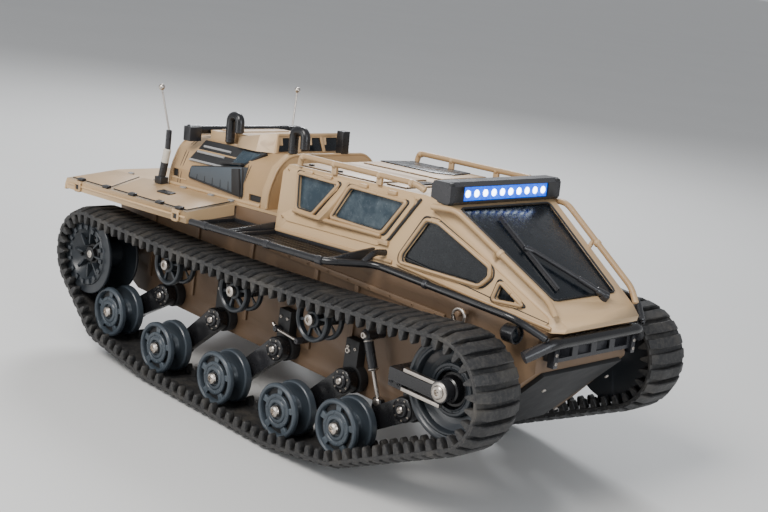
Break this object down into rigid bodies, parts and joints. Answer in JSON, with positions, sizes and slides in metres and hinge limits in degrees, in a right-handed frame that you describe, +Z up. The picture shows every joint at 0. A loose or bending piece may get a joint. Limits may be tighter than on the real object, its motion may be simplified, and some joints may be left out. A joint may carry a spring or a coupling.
{
  "type": "tracked tank chassis",
  "caption": "Radio-controlled tracked vehicle: hull tub with toothed rubber belts, sprung road wheels, sprockets, idlers and rollers, and an armoured body shell with cab and deck.",
  "frame": {"origin": "on the ground, under the middle of the belts' length and width", "axes": "+X towards the front, +Y towards the vehicle's left side, +Z up"},
  "size_m": [0.4702, 0.224, 0.2222],
  "materials": {
    "belt_rubber": "matte",
    "slate_plastic": "satin",
    "black_plastic": "satin",
    "sand_plastic": "matte",
    "brown_plastic": "matte",
    "steel": "satin",
    "window_glass": "polished",
    "windshield_glass": "polished",
    "lamp_lens": "gloss",
    "battery_wrap": "gloss",
    "board": "gloss"
  },
  "bodies": {
    "hull": {"track_left": "belt_rubber", "track_right": "belt_rubber", "hull_tub": "brown_plastic", "suspension_towers": "black_plastic", "roller_axles": "steel", "idler_tensioners": "steel", "drive_motors": "steel", "battery_pack": "battery_wrap", "control_board": "board", "cab_shell": "sand_plastic", "side_windows": "window_glass", "windshield": "windshield_glass", "engine_cover": "sand_plastic", "side_intakes": "black_plastic", "rear_deck": "sand_plastic", "roof_lookout": "sand_plastic", "roof_rails": "sand_plastic", "pillar_guards": "sand_plastic", "light_bar": "black_plastic", "light_bar_lamps": "lamp_lens", "side_steps": "black_plastic", "headlights": "black_plastic", "front_bumper": "black_plastic", "skid_plate": "black_plastic", "antennas": "steel", "snorkels": "black_plastic", "rear_crossbar": "black_plastic"},
    "sprocket_right": {"drive_sprocket_right": "slate_plastic"},
    "idler_right": {"front_idler_right": "slate_plastic"},
    "arm_1_right": {"swing_arm_1_right": "black_plastic"},
    "wheel_1_right": {"road_wheel_1_right": "slate_plastic"},
    "arm_2_right": {"swing_arm_2_right": "black_plastic"},
    "wheel_2_right": {"road_wheel_2_right": "slate_plastic"},
    "arm_3_right": {"swing_arm_3_right": "black_plastic"},
    "wheel_3_right": {"road_wheel_3_right": "slate_plastic"},
    "arm_4_right": {"swing_arm_4_right": "black_plastic"},
    "wheel_4_right": {"road_wheel_4_right": "slate_plastic"},
    "arm_5_right": {"swing_arm_5_right": "black_plastic"},
    "wheel_5_right": {"road_wheel_5_right": "slate_plastic"},
    "roller_1_right": {"return_roller_1_right": "slate_plastic"},
    "roller_2_right": {"return_roller_2_right": "slate_plastic"},
    "roller_3_right": {"return_roller_3_right": "slate_plastic"},
    "tow_ring_right": {"tow_ring_right": "steel"},
    "sprocket_left": {"drive_sprocket_left": "slate_plastic"},
    "idler_left": {"front_idler_left": "slate_plastic"},
    "arm_1_left": {"swing_arm_1_left": "black_plastic"},
    "wheel_1_left": {"road_wheel_1_left": "slate_plastic"},
    "arm_2_left": {"swing_arm_2_left": "black_plastic"},
    "wheel_2_left": {"road_wheel_2_left": "slate_plastic"},
    "arm_3_left": {"swing_arm_3_left": "black_plastic"},
    "wheel_3_left": {"road_wheel_3_left": "slate_plastic"},
    "arm_4_left": {"swing_arm_4_left": "black_plastic"},
    "wheel_4_left": {"road_wheel_4_left": "slate_plastic"},
    "arm_5_left": {"swing_arm_5_left": "black_plastic"},
    "wheel_5_left": {"road_wheel_5_left": "slate_plastic"},
    "roller_1_left": {"return_roller_1_left": "slate_plastic"},
    "roller_2_left": {"return_roller_2_left": "slate_plastic"},
    "roller_3_left": {"return_roller_3_left": "slate_plastic"},
    "tow_ring_left": {"tow_ring_left": "steel"},
    "wiper": {"wiper": "black_plastic"}
  },
  "joints": [
    {"name": "sprocket_spin_right", "type": "hinge", "parent": "hull", "child": "sprocket_right", "pos_m": [-0.1963, -0.09, 0.0765], "axis": [0, 1, 0], "continuous": true},
    {"name": "idler_spin_right", "type": "hinge", "parent": "hull", "child": "idler_right", "pos_m": [0.1946, -0.088, 0.093], "axis": [0, 1, 0], "continuous": true},
    {"name": "arm_swing_1_right", "type": "hinge", "parent": "hull", "child": "arm_1_right", "pos_m": [-0.1305, -0.073, 0.058], "axis": [0, 1, 0], "range_deg": [0, 9]},
    {"name": "wheel_spin_1_right", "type": "hinge", "parent": "arm_1_right", "child": "wheel_1_right", "pos_m": [-0.1659, -0.091, 0.036], "axis": [0, 1, 0], "continuous": true},
    {"name": "arm_swing_2_right", "type": "hinge", "parent": "hull", "child": "arm_2_right", "pos_m": [-0.0636, -0.073, 0.058], "axis": [0, 1, 0], "range_deg": [0, 9]},
    {"name": "wheel_spin_2_right", "type": "hinge", "parent": "arm_2_right", "child": "wheel_2_right", "pos_m": [-0.099, -0.091, 0.02685], "axis": [0, 1, 0], "continuous": true},
    {"name": "arm_swing_3_right", "type": "hinge", "parent": "hull", "child": "arm_3_right", "pos_m": [0.01, -0.073, 0.058], "axis": [0, 1, 0], "range_deg": [0, 9]},
    {"name": "wheel_spin_3_right", "type": "hinge", "parent": "arm_3_right", "child": "wheel_3_right", "pos_m": [-0.0254, -0.091, 0.02685], "axis": [0, 1, 0], "continuous": true},
    {"name": "arm_swing_4_right", "type": "hinge", "parent": "hull", "child": "arm_4_right", "pos_m": [0.0823, -0.073, 0.058], "axis": [0, 1, 0], "range_deg": [0, 9]},
    {"name": "wheel_spin_4_right", "type": "hinge", "parent": "arm_4_right", "child": "wheel_4_right", "pos_m": [0.0469, -0.091, 0.02685], "axis": [0, 1, 0], "continuous": true},
    {"name": "arm_swing_5_right", "type": "hinge", "parent": "hull", "child": "arm_5_right", "pos_m": [0.142, -0.073, 0.058], "axis": [0, 1, 0], "range_deg": [0, 9]},
    {"name": "wheel_spin_5_right", "type": "hinge", "parent": "arm_5_right", "child": "wheel_5_right", "pos_m": [0.1064, -0.091, 0.036], "axis": [0, 1, 0], "continuous": true},
    {"name": "roller_spin_1_right", "type": "hinge", "parent": "hull", "child": "roller_1_right", "pos_m": [-0.101, -0.088, 0.09287], "axis": [0, 1, 0], "continuous": true},
    {"name": "roller_spin_2_right", "type": "hinge", "parent": "hull", "child": "roller_2_right", "pos_m": [-0.02, -0.088, 0.09517], "axis": [0, 1, 0], "continuous": true},
    {"name": "roller_spin_3_right", "type": "hinge", "parent": "hull", "child": "roller_3_right", "pos_m": [0.0658, -0.088, 0.09974], "axis": [0, 1, 0], "continuous": true},
    {"name": "tow_ring_swing_right", "type": "hinge", "parent": "hull", "child": "tow_ring_right", "pos_m": [0.17003, -0.0675, 0.13234], "axis": [0, 1, 0], "range_deg": [-60, 60]},
    {"name": "sprocket_spin_left", "type": "hinge", "parent": "hull", "child": "sprocket_left", "pos_m": [-0.1963, 0.09, 0.0765], "axis": [0, 1, 0], "continuous": true},
    {"name": "idler_spin_left", "type": "hinge", "parent": "hull", "child": "idler_left", "pos_m": [0.1946, 0.088, 0.093], "axis": [0, 1, 0], "continuous": true},
    {"name": "arm_swing_1_left", "type": "hinge", "parent": "hull", "child": "arm_1_left", "pos_m": [-0.1305, 0.073, 0.058], "axis": [0, 1, 0], "range_deg": [0, 9]},
    {"name": "wheel_spin_1_left", "type": "hinge", "parent": "arm_1_left", "child": "wheel_1_left", "pos_m": [-0.1659, 0.091, 0.036], "axis": [0, 1, 0], "continuous": true},
    {"name": "arm_swing_2_left", "type": "hinge", "parent": "hull", "child": "arm_2_left", "pos_m": [-0.0636, 0.073, 0.058], "axis": [0, 1, 0], "range_deg": [0, 9]},
    {"name": "wheel_spin_2_left", "type": "hinge", "parent": "arm_2_left", "child": "wheel_2_left", "pos_m": [-0.099, 0.091, 0.02685], "axis": [0, 1, 0], "continuous": true},
    {"name": "arm_swing_3_left", "type": "hinge", "parent": "hull", "child": "arm_3_left", "pos_m": [0.01, 0.073, 0.058], "axis": [0, 1, 0], "range_deg": [0, 9]},
    {"name": "wheel_spin_3_left", "type": "hinge", "parent": "arm_3_left", "child": "wheel_3_left", "pos_m": [-0.0254, 0.091, 0.02685], "axis": [0, 1, 0], "continuous": true},
    {"name": "arm_swing_4_left", "type": "hinge", "parent": "hull", "child": "arm_4_left", "pos_m": [0.0823, 0.073, 0.058], "axis": [0, 1, 0], "range_deg": [0, 9]},
    {"name": "wheel_spin_4_left", "type": "hinge", "parent": "arm_4_left", "child": "wheel_4_left", "pos_m": [0.0469, 0.091, 0.02685], "axis": [0, 1, 0], "continuous": true},
    {"name": "arm_swing_5_left", "type": "hinge", "parent": "hull", "child": "arm_5_left", "pos_m": [0.142, 0.073, 0.058], "axis": [0, 1, 0], "range_deg": [0, 9]},
    {"name": "wheel_spin_5_left", "type": "hinge", "parent": "arm_5_left", "child": "wheel_5_left", "pos_m": [0.1064, 0.091, 0.036], "axis": [0, 1, 0], "continuous": true},
    {"name": "roller_spin_1_left", "type": "hinge", "parent": "hull", "child": "roller_1_left", "pos_m": [-0.101, 0.088, 0.09287], "axis": [0, 1, 0], "continuous": true},
    {"name": "roller_spin_2_left", "type": "hinge", "parent": "hull", "child": "roller_2_left", "pos_m": [-0.02, 0.088, 0.09517], "axis": [0, 1, 0], "continuous": true},
    {"name": "roller_spin_3_left", "type": "hinge", "parent": "hull", "child": "roller_3_left", "pos_m": [0.0658, 0.088, 0.09974], "axis": [0, 1, 0], "continuous": true},
    {"name": "tow_ring_swing_left", "type": "hinge", "parent": "hull", "child": "tow_ring_left", "pos_m": [0.17003, 0.0675, 0.13234], "axis": [0, 1, 0], "range_deg": [-60, 60]},
    {"name": "wiper_sweep", "type": "hinge", "parent": "hull", "child": "wiper", "pos_m": [0.22006, 0.015, 0.14872], "axis": [0.4822, 0, 0.876], "range_deg": [-40, 2]}
  ],
  "couplings": [
    {"joint": "idler_spin_right", "follows": "sprocket_spin_right", "ratio": 0.95588},
    {"joint": "wheel_spin_1_right", "follows": "sprocket_spin_right", "ratio": 1.5971},
    {"joint": "wheel_spin_2_right", "follows": "sprocket_spin_right", "ratio": 1.5971},
    {"joint": "wheel_spin_3_right", "follows": "sprocket_spin_right", "ratio": 1.5971},
    {"joint": "wheel_spin_4_right", "follows": "sprocket_spin_right", "ratio": 1.5971},
    {"joint": "wheel_spin_5_right", "follows": "sprocket_spin_right", "ratio": 1.5971},
    {"joint": "roller_spin_1_right", "follows": "sprocket_spin_right", "ratio": 1.9878},
    {"joint": "roller_spin_2_right", "follows": "sprocket_spin_right", "ratio": 1.9878},
    {"joint": "roller_spin_3_right", "follows": "sprocket_spin_right", "ratio": 1.9878},
    {"joint": "idler_spin_left", "follows": "sprocket_spin_left", "ratio": 0.95588},
    {"joint": "wheel_spin_1_left", "follows": "sprocket_spin_left", "ratio": 1.5971},
    {"joint": "wheel_spin_2_left", "follows": "sprocket_spin_left", "ratio": 1.5971},
    {"joint": "wheel_spin_3_left", "follows": "sprocket_spin_left", "ratio": 1.5971},
    {"joint": "wheel_spin_4_left", "follows": "sprocket_spin_left", "ratio": 1.5971},
    {"joint": "wheel_spin_5_left", "follows": "sprocket_spin_left", "ratio": 1.5971},
    {"joint": "roller_spin_1_left", "follows": "sprocket_spin_left", "ratio": 1.9878},
    {"joint": "roller_spin_2_left", "follows": "sprocket_spin_left", "ratio": 1.9878},
    {"joint": "roller_spin_3_left", "follows": "sprocket_spin_left", "ratio": 1.9878}
  ]
}
